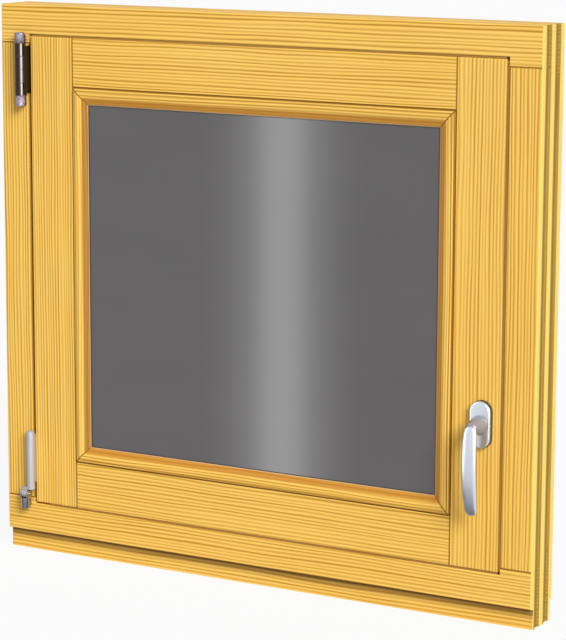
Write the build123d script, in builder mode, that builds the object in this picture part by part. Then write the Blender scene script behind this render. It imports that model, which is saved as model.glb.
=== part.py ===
from build123d import *
import os

# Tilt and turn window, seen from the room: X to the right, Y into the wall, Z up.
# The origin is under the base strip, at mid width and mid depth of the outer frame.

# Outer frame
FRAME_WIDTH = 870.0
FRAME_HEIGHT = 825.0
FRAME_DEPTH = 68.0
JAMB_FACE = 48.0
HEAD_FACE = 43.0
SILL_FACE = 43.0
POCKET_LAP = 12.0
POCKET_DEPTH = 22.0
STOP_LAP = 16.0
STOP_THICKNESS = 20.0
HEAD_SHOULDER = 11.5
SILL_SHOULDER = 9.0
EDGE_ROUND = 2.0

# Base strip under the frame
BASE_HEIGHT = 30.0
BASE_FRONT_RECESS = 8.0
BASE_BACK_RECESS = 6.0

# Two grooves down the outer sides, for fixing lugs and foam
GROOVE_DEPTH = 3.0
GROOVE_WIDTH = 14.0
FRONT_GROOVE_SETBACK = 12.5
BACK_GROOVE_SETBACK = 42.5

# Sash
LIP_GAP = 3.0
LIP_THICKNESS = 17.0
REBATE_GAP = 12.0
STOP_GAP = 5.0
STOP_CLEARANCE = 5.0
SASH_SETBACK = 4.0
STILE_FACE = 73.0
RAIL_FACE = 70.0

# Glazing beads and the sealed glass unit
BEAD_WIDTH = 27.0
BEAD_JOINT = 0.5
BEAD_QUIRK = 2.0
BEAD_QUIRK_DROP = 1.0
BEAD_PROUD = 2.0
BEAD_CROWN = 1.0
BEAD_FACE = 13.0
BEAD_BROW = 1.5
BEAD_TOE = 1.0
BEAD_TOE_SETBACK = 2.0
GLASS_RECESS = 4.5
PANE_THICKNESS = 4.0
SPACER_DEPTH = 20.0
SPACER_WIDTH = 6.0
SPACER_INSET = 10.0
GLASS_EDGE_GAP = 5.0
FRONT_SEAL = 1.2
FRONT_SEAL_WIDTH = 14.0
BACK_SEAL = 1.0
BACK_SEAL_WIDTH = 12.0

# Frame gasket and outside drip rail
GASKET_WIDTH = 6.0
GASKET_THICKNESS = 2.5
GASKET_INSET = 5.0
DRIP_PROJECTION = 18.0
DRIP_HEIGHT = 22.0
DRIP_WALL = 2.5
DRIP_NOSE = 8.0
DRIP_FALL = 4.0
DRIP_END_SETBACK = 20.0
DRIP_DROP = 6.0

# Hinge axis, measured from the sash's edge and from the frame's front face
HINGE_OFFSET = 11.0
HINGE_PROUD = 11.0
RUNNING_FIT = 0.05

# Upper hinge
BARREL_RADIUS = 7.5
BARREL_TOP_DROP = 10.0
BARREL_LENGTH = 76.0
END_KNUCKLE = 18.0
KNUCKLE_GAP = 0.5
HINGE_PIN_RADIUS = 3.5
PIN_CAP_RADIUS = 7.2
PIN_CAP_LENGTH = 16.0
PLATE_WIDTH = 15.0
PLATE_THICKNESS = 2.5
PLATE_LENGTH = 106.0
PLATE_RISE = 3.0
PLATE_EDGE_SETBACK = 5.0
PLATE_CORNER = 3.0
KNUCKLE_WEB = 6.0

# Stay arm from the upper hinge to the sash's top rail
STAY_LEAF = 1.5
STAY_WEB = 5.0
STAY_LEAF_OVERRUN = 15.0
STAY_PLATE_REACH = 19.0
STAY_PLATE_SETBACK = 18.75
STAY_BAR_WIDTH = 14.0
STAY_BAR_THICKNESS = 3.0
STAY_BAR_DROP = 4.0
STAY_PIN_REACH = 345.0
STAY_PIN_RADIUS = 3.0
STAY_PIN_LENGTH = 10.0
STAY_SLOT_LENGTH = 26.0
STAY_SLOT_WIDTH = 10.0
STAY_SLOT_DEPTH = 8.0

# Lower corner hinge
TILT_AXIS_RISE = 14.0
BEARING_RADIUS = 7.0
BEARING_HEIGHT = 7.5
STEM_RADIUS = 3.0
STEM_DEPTH = 18.0
SPIGOT_RADIUS = 3.5
SPIGOT_HEIGHT = 6.0
CUP_RADIUS = 7.5
CUP_HEIGHT = 8.0
CUP_LIFT = 0.3
CHEEK_THICKNESS = 3.0
CHEEK_HALF_WIDTH = 5.5
EYE_WIDTH = 8.0
EYE_RADIUS = 5.5
EYE_SIDE_GAP = 0.3
CROSS_PIN_RADIUS = 2.5
CROSS_PIN_OVERHANG = 0.8
SLEEVE_RADIUS = 6.2
SLEEVE_OFFSET = 3.5
SLEEVE_PROUD = 8.5
SLEEVE_FOOT = 4.0
SLEEVE_FOOT_RISE = 7.5
SLEEVE_LENGTH = 86.0
SLEEVE_BEVEL = 1.5
SLEEVE_LEAF = 2.0
SLEEVE_LEAF_MARGIN = 6.0

# Locking gear let into the closing edge of the sash, and its keeps on the frame
FACEPLATE_WIDTH = 16.0
FACEPLATE_THICKNESS = 2.5
FACEPLATE_END_MARGIN = 40.0
FACEPLATE_SETBACK = 23.0
CAM_RADIUS = 5.0
CAM_HEIGHT = 6.0
CAM_RISES = (150.0, 520.0)
KEEP_LENGTH = 36.0
KEEP_WIDTH = 16.0
KEEP_HEIGHT = 6.0
KEEP_CLEARANCE = 40.0
KEEP_SLOT = 11.0

# Handle
HANDLE_INSET = 28.0
HANDLE_RISE = 206.0
ROSETTE_LENGTH = 67.0
ROSETTE_WIDTH = 32.0
ROSETTE_THICKNESS = 10.0
ROSETTE_BEVEL = 2.5
COLLAR_RADIUS = 9.5
COLLAR_DEPTH = 5.0
NECK_BASE_RADIUS = 14.0
NECK_TOP_RADIUS = 8.0
NECK_LIFT = 0.4
LEVER_PROUD = 35.0
LEVER_THICKNESS = 10.0
LEVER_FALL = 11.6
LEVER_PEAK_DROP = 49.0
LEVER_REACH = 122.5
LEVER_HEAD = 4.5
LEVER_WIDTH = 22.0
LEVER_ROUND = 4.8
LEVER_END_ROUND = 4.5

# Places worked out from the driving sizes
FRONT = -FRAME_DEPTH / 2
BACK = FRAME_DEPTH / 2
SIDE = FRAME_WIDTH / 2
POCKET_FLOOR = FRONT + POCKET_DEPTH
STOP_FRONT = BACK - STOP_THICKNESS
HEAD_EDGE = FRAME_HEIGHT - HEAD_FACE
SILL_EDGE = BASE_HEIGHT + SILL_FACE
JAMB_TOP = HEAD_EDGE - HEAD_SHOULDER
JAMB_BOTTOM = SILL_EDGE + SILL_SHOULDER
SASH_HALF_WIDTH = SIDE - JAMB_FACE - LIP_GAP
SASH_BOTTOM = SILL_EDGE + LIP_GAP
SASH_TOP = HEAD_EDGE - LIP_GAP
SASH_MIDDLE = (SASH_BOTTOM + SASH_TOP) / 2
SASH_HEIGHT = SASH_TOP - SASH_BOTTOM
BODY_INSET = POCKET_LAP - LIP_GAP + REBATE_GAP
TAIL_INSET = POCKET_LAP + STOP_LAP - LIP_GAP + STOP_GAP
LIP_BACK = FRONT + LIP_THICKNESS
TAIL_FRONT = STOP_FRONT - STOP_CLEARANCE
SASH_BACK = BACK - SASH_SETBACK
GLASS_FRONT = FRONT + GLASS_RECESS
GLASS_UNIT = 2 * PANE_THICKNESS + SPACER_DEPTH
REBATE_BACK = GLASS_FRONT + GLASS_UNIT + BACK_SEAL
SIGHT_HALF_WIDTH = SASH_HALF_WIDTH - STILE_FACE
SIGHT_HALF_HEIGHT = SASH_HEIGHT / 2 - RAIL_FACE
GLASS_WIDTH = 2 * (SIGHT_HALF_WIDTH - GLASS_EDGE_GAP)
GLASS_HEIGHT = 2 * (SIGHT_HALF_HEIGHT - GLASS_EDGE_GAP)
HINGE_X = -SASH_HALF_WIDTH - HINGE_OFFSET
HINGE_Y = FRONT - HINGE_PROUD
TILT_Z = SASH_BOTTOM + TILT_AXIS_RISE
BARREL_TOP = SASH_TOP - BARREL_TOP_DROP
BARREL_BOTTOM = BARREL_TOP - BARREL_LENGTH
BEARING_TOP = SASH_BOTTOM
BEARING_BOTTOM = BEARING_TOP - BEARING_HEIGHT
STEM_Z = (BEARING_TOP + BEARING_BOTTOM) / 2
LOCK_EDGE = SASH_HALF_WIDTH - BODY_INSET
LOCK_PLATE_FRONT = FRONT + FACEPLATE_SETBACK
LOCK_MIDDLE = LOCK_PLATE_FRONT + FACEPLATE_WIDTH / 2
LOCK_PLATE_BOTTOM = SASH_BOTTOM + BODY_INSET + FACEPLATE_END_MARGIN
LOCK_PLATE_TOP = SASH_TOP - BODY_INSET - FACEPLATE_END_MARGIN
HANDLE_X = SASH_HALF_WIDTH - HANDLE_INSET
HANDLE_Z = SASH_BOTTOM + HANDLE_RISE

os.makedirs("parts", exist_ok=True)


def keep(builder, name):
    """Label a finished sub-part and write it."""
    builder.part.label = name
    export_step(builder.part, f"parts/{name}.step")


def block(x_range, y_range, z_range, mode=Mode.ADD):
    """Add or cut a box given by its limits along X, Y and Z."""
    spans = (x_range, y_range, z_range)
    sizes = [high - low for low, high in spans]
    middle = [(high + low) / 2 for low, high in spans]
    with Locations(tuple(middle)):
        Box(*sizes, mode=mode)


# Outer frame: the head and sill rail run the full width
def rail_section(outer, inward, face):
    """Draw a stepped frame section across Y and Z, from its outer edge inward."""
    with BuildSketch(Plane.YZ.offset(-SIDE)) as section:
        with BuildLine():
            Polyline(
                (FRONT, outer),
                (FRONT, outer + inward * face),
                (POCKET_FLOOR, outer + inward * face),
                (POCKET_FLOOR, outer + inward * (face + POCKET_LAP)),
                (STOP_FRONT, outer + inward * (face + POCKET_LAP)),
                (STOP_FRONT, outer + inward * (face + POCKET_LAP + STOP_LAP)),
                (BACK, outer + inward * (face + POCKET_LAP + STOP_LAP)),
                (BACK, outer),
                close=True,
            )
        make_face()
        fillet(section.vertices().group_by(Axis.X)[0], EDGE_ROUND)
    return section.sketch


def cut_end_grooves(bottom, top):
    """Cut the side grooves through both ends of a full-width member."""
    for side in (-1, 1):
        for setback in (FRONT_GROOVE_SETBACK, BACK_GROOVE_SETBACK):
            across = sorted((side * SIDE, side * (SIDE - GROOVE_DEPTH)))
            along = (FRONT + setback, FRONT + setback + GROOVE_WIDTH)
            block(across, along, (bottom, top), mode=Mode.SUBTRACT)


def add_shoulders(bottom, top):
    """Add the room-side shoulders at both ends, where a rail reaches past its edge to the jambs."""
    for side in (-1, 1):
        across = sorted((side * SIDE, side * (SIDE - JAMB_FACE)))
        block(across, (FRONT, POCKET_FLOOR), (bottom, top))


def round_corners(front, back, bottom, top):
    """Round the two upright room-side corners of a full-width member."""
    with BuildSketch(Plane.XY.offset(bottom)) as outline:
        with Locations((0, (front + back) / 2)):
            Rectangle(FRAME_WIDTH, back - front)
        fillet(outline.vertices().group_by(Axis.Y)[0], EDGE_ROUND)
    extrude(outline.sketch, amount=top - bottom, mode=Mode.INTERSECT)


def stem(radius, start, mode=Mode.ADD):
    """Add or cut the corner bearing's stem, level along Y from the given start into the sill rail."""
    with BuildSketch(Plane.XZ.offset(-start)) as disc:
        with Locations((HINGE_X, STEM_Z)):
            Circle(radius)
    extrude(disc.sketch, amount=start - FRONT - STEM_DEPTH, mode=mode)


with BuildPart() as frame_head:
    extrude(rail_section(FRAME_HEIGHT, -1, HEAD_FACE), amount=FRAME_WIDTH)
    add_shoulders(JAMB_TOP, HEAD_EDGE + EDGE_ROUND)
    round_corners(FRONT, BACK, HEAD_EDGE - POCKET_LAP - STOP_LAP, FRAME_HEIGHT)
    cut_end_grooves(HEAD_EDGE - POCKET_LAP - STOP_LAP, FRAME_HEIGHT)
keep(frame_head, "frame_head")

with BuildPart() as frame_sill_rail:
    extrude(rail_section(BASE_HEIGHT, 1, SILL_FACE), amount=FRAME_WIDTH)
    add_shoulders(SILL_EDGE - EDGE_ROUND, JAMB_BOTTOM)
    round_corners(FRONT, BACK, BASE_HEIGHT, SILL_EDGE + POCKET_LAP + STOP_LAP)
    cut_end_grooves(BASE_HEIGHT, SILL_EDGE + POCKET_LAP + STOP_LAP)
    stem(STEM_RADIUS + RUNNING_FIT, FRONT, mode=Mode.SUBTRACT)
keep(frame_sill_rail, "frame_sill_rail")

# Jambs stand between their shoulders, coped over their steps
for jamb_name, side in (("frame_left_jamb", -1), ("frame_right_jamb", 1)):
    with BuildPart() as frame_jamb:
        with BuildSketch(Plane.XY.offset(JAMB_BOTTOM)) as jamb_section:
            with BuildLine():
                Polyline(
                    (side * SIDE, FRONT),
                    (side * (SIDE - JAMB_FACE), FRONT),
                    (side * (SIDE - JAMB_FACE), POCKET_FLOOR),
                    (side * (SIDE - JAMB_FACE - POCKET_LAP), POCKET_FLOOR),
                    (side * (SIDE - JAMB_FACE - POCKET_LAP), STOP_FRONT),
                    (side * (SIDE - JAMB_FACE - POCKET_LAP - STOP_LAP), STOP_FRONT),
                    (side * (SIDE - JAMB_FACE - POCKET_LAP - STOP_LAP), BACK),
                    (side * SIDE, BACK),
                    close=True,
                )
            make_face()
            fillet(jamb_section.vertices().group_by(Axis.Y)[0], EDGE_ROUND)
        extrude(amount=JAMB_TOP - JAMB_BOTTOM)
        cut_end_grooves(JAMB_BOTTOM, JAMB_TOP)
        add(frame_head.part, mode=Mode.SUBTRACT)
        add(frame_sill_rail.part, mode=Mode.SUBTRACT)
    keep(frame_jamb, jamb_name)

with BuildPart() as sill_base:
    base_front = FRONT + BASE_FRONT_RECESS
    base_back = BACK - BASE_BACK_RECESS
    block((-SIDE, SIDE), (base_front, base_back), (0, BASE_HEIGHT))
    round_corners(base_front, base_back, 0, BASE_HEIGHT)
    cut_end_grooves(0, BASE_HEIGHT)
keep(sill_base, "sill_base")


# Weather gasket on the outer stop, facing the sash
def ring(y_start, thickness, half_width, bottom, top, band):
    """Make a rectangular ring in the XZ plane, of the given outer limits and band width."""
    with BuildSketch(Plane.XZ.offset(-y_start)) as outline:
        with Locations((0, (bottom + top) / 2)):
            Rectangle(2 * half_width, top - bottom)
            Rectangle(2 * (half_width - band), top - bottom - 2 * band, mode=Mode.SUBTRACT)
    extrude(outline.sketch, amount=-thickness)


with BuildPart() as frame_gasket:
    ring(
        STOP_FRONT - GASKET_THICKNESS,
        GASKET_THICKNESS,
        SIDE - JAMB_FACE - POCKET_LAP - GASKET_INSET,
        SILL_EDGE + POCKET_LAP + GASKET_INSET,
        HEAD_EDGE - POCKET_LAP - GASKET_INSET,
        GASKET_WIDTH,
    )
keep(frame_gasket, "frame_gasket")

# Drip rail along the outside of the sill rail
DRIP_TOP = SILL_EDGE + POCKET_LAP + STOP_LAP - DRIP_DROP
with BuildPart() as drip_rail:
    with BuildSketch(Plane.YZ.offset(-SIDE + DRIP_END_SETBACK)):
        with BuildLine():
            Polyline(
                (BACK, DRIP_TOP),
                (BACK + DRIP_PROJECTION, DRIP_TOP - DRIP_FALL),
                (BACK + DRIP_PROJECTION, DRIP_TOP - DRIP_FALL - DRIP_NOSE),
                (BACK + DRIP_PROJECTION - DRIP_WALL, DRIP_TOP - DRIP_FALL - DRIP_NOSE),
                (BACK + DRIP_PROJECTION - DRIP_WALL, DRIP_TOP - DRIP_FALL - DRIP_WALL),
                (BACK + DRIP_WALL, DRIP_TOP - DRIP_WALL),
                (BACK + DRIP_WALL, DRIP_TOP - DRIP_HEIGHT),
                (BACK, DRIP_TOP - DRIP_HEIGHT),
                close=True,
            )
        make_face()
    extrude(amount=FRAME_WIDTH - 2 * DRIP_END_SETBACK)
keep(drip_rail, "drip_rail")

# Sash: stiles run the full height and rails stand between them
with BuildPart() as sash_blank:
    for inset, layer in (
        (0, (FRONT, LIP_BACK)),
        (BODY_INSET, (LIP_BACK, TAIL_FRONT)),
        (TAIL_INSET, (TAIL_FRONT, SASH_BACK)),
    ):
        block(
            (-SASH_HALF_WIDTH + inset, SASH_HALF_WIDTH - inset),
            layer,
            (SASH_BOTTOM + inset, SASH_TOP - inset),
        )
    fillet(sash_blank.faces().sort_by(Axis.Y)[0].edges(), EDGE_ROUND)


def lock_plate(mode=Mode.ADD):
    """Add the lock's faceplate, or cut its seat in the closing edge of the sash."""
    block(
        (LOCK_EDGE - FACEPLATE_THICKNESS, LOCK_EDGE),
        (LOCK_PLATE_FRONT, LOCK_PLATE_FRONT + FACEPLATE_WIDTH),
        (LOCK_PLATE_BOTTOM, LOCK_PLATE_TOP),
        mode=mode,
    )


for stile_name, side in (("sash_left_stile", -1), ("sash_right_stile", 1)):
    sight = SIGHT_HALF_WIDTH
    with BuildPart() as sash_stile:
        block(sorted((side * SASH_HALF_WIDTH, side * sight)), (FRONT, SASH_BACK), (SASH_BOTTOM, SASH_TOP))
        block(
            sorted((side * sight, side * (sight - BEAD_WIDTH))),
            (REBATE_BACK, SASH_BACK),
            (SASH_BOTTOM, SASH_TOP),
        )
        add(sash_blank.part, mode=Mode.INTERSECT)
        if side > 0:
            lock_plate(mode=Mode.SUBTRACT)
    keep(sash_stile, stile_name)

STAY_Y = FRONT + STAY_PLATE_SETBACK + STAY_BAR_WIDTH / 2
STAY_PIN_X = HINGE_X + STAY_PIN_REACH
RAIL_TOP_EDGE = SASH_TOP - BODY_INSET
for rail_name, side, outer in (("sash_top_rail", 1, SASH_TOP), ("sash_bottom_rail", -1, SASH_BOTTOM)):
    sight = outer - side * RAIL_FACE
    with BuildPart() as sash_rail:
        block((-SIGHT_HALF_WIDTH, SIGHT_HALF_WIDTH), (FRONT, REBATE_BACK), sorted((outer, sight)))
        block(
            (-SIGHT_HALF_WIDTH + BEAD_WIDTH, SIGHT_HALF_WIDTH - BEAD_WIDTH),
            (REBATE_BACK, SASH_BACK),
            sorted((outer, sight - side * BEAD_WIDTH)),
        )
        add(sash_blank.part, mode=Mode.INTERSECT)
        if side > 0:
            with BuildSketch(Plane.XY.offset(RAIL_TOP_EDGE)):
                with Locations((STAY_PIN_X, STAY_Y)):
                    SlotOverall(STAY_SLOT_LENGTH, STAY_SLOT_WIDTH)
            extrude(amount=-STAY_SLOT_DEPTH, mode=Mode.SUBTRACT)
    keep(sash_rail, rail_name)

# Four mitred glazing beads: quirk, crowned face and a slope down to the glass
BEAD_SEAT = -(GLASS_RECESS - FRONT_SEAL)
for bead_name, inward, reach, half_length in (
    ("bead_top", Vector(0, 0, -1), SIGHT_HALF_HEIGHT, SIGHT_HALF_WIDTH),
    ("bead_bottom", Vector(0, 0, 1), SIGHT_HALF_HEIGHT, SIGHT_HALF_WIDTH),
    ("bead_left", Vector(1, 0, 0), SIGHT_HALF_WIDTH, SIGHT_HALF_HEIGHT),
    ("bead_right", Vector(-1, 0, 0), SIGHT_HALF_WIDTH, SIGHT_HALF_HEIGHT),
):
    start = Vector(0, FRONT, SASH_MIDDLE) - inward * reach
    room = Vector(0, -1, 0)
    across = Plane(origin=start, x_dir=inward, z_dir=inward.cross(room))
    facing = Plane(origin=start, x_dir=inward, z_dir=room)
    step = BEAD_JOINT + BEAD_QUIRK
    brow = step + BEAD_FACE
    toe = BEAD_WIDTH - BEAD_TOE_SETBACK
    crown = ((step + brow) / 2, BEAD_PROUD + BEAD_CROWN)
    with BuildPart() as bead:
        with BuildSketch(across):
            with BuildLine():
                Polyline(
                    (brow, BEAD_BROW),
                    (toe, BEAD_SEAT + BEAD_TOE),
                    (toe, BEAD_SEAT),
                    (BEAD_JOINT, BEAD_SEAT),
                    (BEAD_JOINT, -BEAD_QUIRK_DROP),
                    (step, -BEAD_QUIRK_DROP),
                    (step, BEAD_PROUD),
                )
                ThreePointArc((step, BEAD_PROUD), crown, (brow, BEAD_BROW))
            make_face()
        extrude(amount=half_length, both=True)
        with BuildSketch(facing):
            with BuildLine():
                Polyline(
                    (0, -half_length),
                    (0, half_length),
                    (BEAD_WIDTH, half_length - BEAD_WIDTH),
                    (BEAD_WIDTH, -half_length + BEAD_WIDTH),
                    close=True,
                )
            make_face()
        extrude(amount=GLASS_RECESS, both=True, mode=Mode.INTERSECT)
    keep(bead, bead_name)

# Sealed glass unit between its seals
for pane_name, pane_front in (
    ("glass_inner_pane", GLASS_FRONT),
    ("glass_outer_pane", GLASS_FRONT + PANE_THICKNESS + SPACER_DEPTH),
):
    with BuildPart() as pane:
        with Locations((0, pane_front + PANE_THICKNESS / 2, SASH_MIDDLE)):
            Box(GLASS_WIDTH, PANE_THICKNESS, GLASS_HEIGHT)
    keep(pane, pane_name)

with BuildPart() as glass_spacer:
    ring(
        GLASS_FRONT + PANE_THICKNESS,
        SPACER_DEPTH,
        GLASS_WIDTH / 2 - SPACER_INSET,
        SASH_MIDDLE - GLASS_HEIGHT / 2 + SPACER_INSET,
        SASH_MIDDLE + GLASS_HEIGHT / 2 - SPACER_INSET,
        SPACER_WIDTH,
    )
keep(glass_spacer, "glass_spacer")

with BuildPart() as glazing_seals:
    for seal_front, seal_depth, seal_width in (
        (GLASS_FRONT - FRONT_SEAL, FRONT_SEAL, FRONT_SEAL_WIDTH),
        (GLASS_FRONT + GLASS_UNIT, BACK_SEAL, BACK_SEAL_WIDTH),
    ):
        outer_inset = BEAD_WIDTH - seal_width
        ring(
            seal_front,
            seal_depth,
            SIGHT_HALF_WIDTH - outer_inset,
            SASH_MIDDLE - SIGHT_HALF_HEIGHT + outer_inset,
            SASH_MIDDLE + SIGHT_HALF_HEIGHT - outer_inset,
            seal_width,
        )
keep(glazing_seals, "glazing_seals")

# Locking gear: faceplate and cams on the sash, keeps on the closing jamb
with BuildPart() as lock_faceplate:
    lock_plate()
    with BuildSketch(Plane.YZ.offset(LOCK_EDGE)):
        with Locations(*[(LOCK_MIDDLE, SASH_BOTTOM + rise) for rise in CAM_RISES]):
            Circle(CAM_RADIUS)
    extrude(amount=CAM_HEIGHT)
keep(lock_faceplate, "lock_faceplate")

KEEP_SEAT = SIDE - JAMB_FACE - POCKET_LAP
with BuildPart() as lock_keeps:
    for rise in CAM_RISES:
        keep_bottom = SASH_BOTTOM + rise + KEEP_CLEARANCE
        block(
            (KEEP_SEAT - KEEP_HEIGHT, KEEP_SEAT),
            (LOCK_MIDDLE - KEEP_WIDTH / 2, LOCK_MIDDLE + KEEP_WIDTH / 2),
            (keep_bottom, keep_bottom + KEEP_LENGTH),
        )
        block(
            (KEEP_SEAT - KEEP_HEIGHT, KEEP_SEAT - KEEP_HEIGHT / 2),
            (LOCK_MIDDLE - KEEP_SLOT / 2, LOCK_MIDDLE + KEEP_SLOT / 2),
            (keep_bottom, keep_bottom + KEEP_LENGTH),
            mode=Mode.SUBTRACT,
        )
keep(lock_keeps, "lock_keeps")


# Upper hinge: plate with two knuckles on the jamb, a capped pin, and the stay's knuckle between
def barrel(bottom, top, radius, mode=Mode.ADD):
    """Add or cut an upright cylinder on the hinge axis."""
    with BuildSketch(Plane.XY.offset(bottom)) as disc:
        with Locations((HINGE_X, HINGE_Y)):
            Circle(radius)
    extrude(disc.sketch, amount=top - bottom, mode=mode)


PLATE_RIGHT = -SIDE + JAMB_FACE - PLATE_EDGE_SETBACK
PLATE_FRONT = FRONT - PLATE_THICKNESS
PLATE_TOP = SASH_TOP + PLATE_RISE
with BuildPart() as top_hinge_bearing:
    block(
        (PLATE_RIGHT - PLATE_WIDTH, PLATE_RIGHT),
        (PLATE_FRONT, FRONT),
        (PLATE_TOP - PLATE_LENGTH, PLATE_TOP),
    )
    fillet(top_hinge_bearing.edges().filter_by(Axis.Y), PLATE_CORNER)
    for low, high in (
        (BARREL_BOTTOM, BARREL_BOTTOM + END_KNUCKLE),
        (BARREL_TOP - END_KNUCKLE, BARREL_TOP),
    ):
        barrel(low, high, BARREL_RADIUS)
        web = (HINGE_X - KNUCKLE_WEB / 2, HINGE_X + KNUCKLE_WEB / 2)
        block(web, (HINGE_Y, PLATE_FRONT), (low, high))
    barrel(BARREL_BOTTOM, BARREL_TOP, HINGE_PIN_RADIUS + RUNNING_FIT, mode=Mode.SUBTRACT)
keep(top_hinge_bearing, "top_hinge_bearing")

with BuildPart() as top_hinge_pin:
    barrel(BARREL_BOTTOM, BARREL_TOP, HINGE_PIN_RADIUS)
    barrel(BARREL_TOP, BARREL_TOP + PIN_CAP_LENGTH, PIN_CAP_RADIUS)
    barrel(BARREL_BOTTOM - PIN_CAP_LENGTH, BARREL_BOTTOM, PIN_CAP_RADIUS)
keep(top_hinge_pin, "top_hinge_pin")

# Stay: knuckle and a leaf through the gap beside the sash, then an arm along its top
STAY_LOW = BARREL_BOTTOM + END_KNUCKLE + KNUCKLE_GAP
STAY_HIGH = BARREL_TOP - END_KNUCKLE - KNUCKLE_GAP
LEAF_LEFT = -SASH_HALF_WIDTH - LIP_GAP / 2 - STAY_LEAF / 2
STAY_BAR_TOP = HEAD_EDGE - POCKET_LAP - STAY_BAR_DROP
STAY_PLATE_FRONT = FRONT + STAY_PLATE_SETBACK
with BuildPart() as stay_hinge:
    barrel(STAY_LOW, STAY_HIGH, BARREL_RADIUS)
    block(
        (HINGE_X, LEAF_LEFT + STAY_LEAF),
        (HINGE_Y - STAY_WEB / 2, HINGE_Y + STAY_WEB / 2),
        (STAY_LOW, STAY_HIGH),
    )
    block(
        (LEAF_LEFT, LEAF_LEFT + STAY_LEAF),
        (HINGE_Y - STAY_WEB / 2, STAY_PLATE_FRONT + STAY_LEAF),
        (STAY_LOW - STAY_LEAF_OVERRUN, STAY_HIGH + STAY_LEAF_OVERRUN),
    )
    block(
        (LEAF_LEFT, LEAF_LEFT + STAY_PLATE_REACH),
        (STAY_PLATE_FRONT, STAY_PLATE_FRONT + STAY_LEAF),
        (STAY_LOW, STAY_BAR_TOP - STAY_BAR_THICKNESS),
    )
    barrel(STAY_LOW, STAY_HIGH, HINGE_PIN_RADIUS + RUNNING_FIT, mode=Mode.SUBTRACT)
keep(stay_hinge, "stay_hinge")

STAY_BAR_LEFT = -SIDE + JAMB_FACE + POCKET_LAP + LIP_GAP
with BuildPart() as stay_arm:
    with BuildSketch(Plane.XY.offset(STAY_BAR_TOP)):
        with Locations(((STAY_BAR_LEFT + STAY_PIN_X) / 2, STAY_Y)):
            Rectangle(STAY_PIN_X - STAY_BAR_LEFT, STAY_BAR_WIDTH)
        with Locations((STAY_PIN_X, STAY_Y)):
            Circle(STAY_BAR_WIDTH / 2)
    extrude(amount=-STAY_BAR_THICKNESS)
    with BuildSketch(Plane.XY.offset(STAY_BAR_TOP - STAY_BAR_THICKNESS)):
        with Locations((STAY_PIN_X, STAY_Y)):
            Circle(STAY_PIN_RADIUS)
    extrude(amount=-STAY_PIN_LENGTH)
keep(stay_arm, "stay_arm")

# Lower corner hinge: a bearing block with an upright spigot, on a stem let into the sill rail
with BuildPart() as corner_bearing:
    barrel(BEARING_BOTTOM, BEARING_TOP, BEARING_RADIUS)
    stem(STEM_RADIUS, HINGE_Y)
    barrel(BEARING_TOP, BEARING_TOP + SPIGOT_HEIGHT, SPIGOT_RADIUS)
keep(corner_bearing, "corner_bearing")

# A swivel turns on the spigot and carries the cross pin that the sash tilts on
CUP_BOTTOM = BEARING_TOP + CUP_LIFT
CUP_TOP = BEARING_TOP + CUP_HEIGHT
CHEEK_INNER = EYE_WIDTH / 2 + EYE_SIDE_GAP
CHEEK_OUTER = CHEEK_INNER + CHEEK_THICKNESS


def cross_disc(left, right, radius, mode=Mode.ADD):
    """Add or cut a cylinder level along X on the tilt axis."""
    with BuildSketch(Plane.YZ.offset(left)) as disc:
        with Locations((HINGE_Y, TILT_Z)):
            Circle(radius)
    extrude(disc.sketch, amount=right - left, mode=mode)


with BuildPart() as corner_swivel:
    barrel(CUP_BOTTOM, CUP_TOP, CUP_RADIUS)
    spigot_end = BEARING_TOP + SPIGOT_HEIGHT + CUP_LIFT
    barrel(CUP_BOTTOM, spigot_end, SPIGOT_RADIUS + RUNNING_FIT, mode=Mode.SUBTRACT)
    for low, high in ((-CHEEK_OUTER, -CHEEK_INNER), (CHEEK_INNER, CHEEK_OUTER)):
        cross_disc(HINGE_X + low, HINGE_X + high, CHEEK_HALF_WIDTH)
        block(
            (HINGE_X + low, HINGE_X + high),
            (HINGE_Y - CHEEK_HALF_WIDTH, HINGE_Y + CHEEK_HALF_WIDTH),
            (CUP_TOP, TILT_Z),
        )
    pin_half = CHEEK_OUTER + CROSS_PIN_OVERHANG
    cross_disc(HINGE_X - pin_half, HINGE_X + pin_half, CROSS_PIN_RADIUS)
keep(corner_swivel, "corner_swivel")

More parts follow.
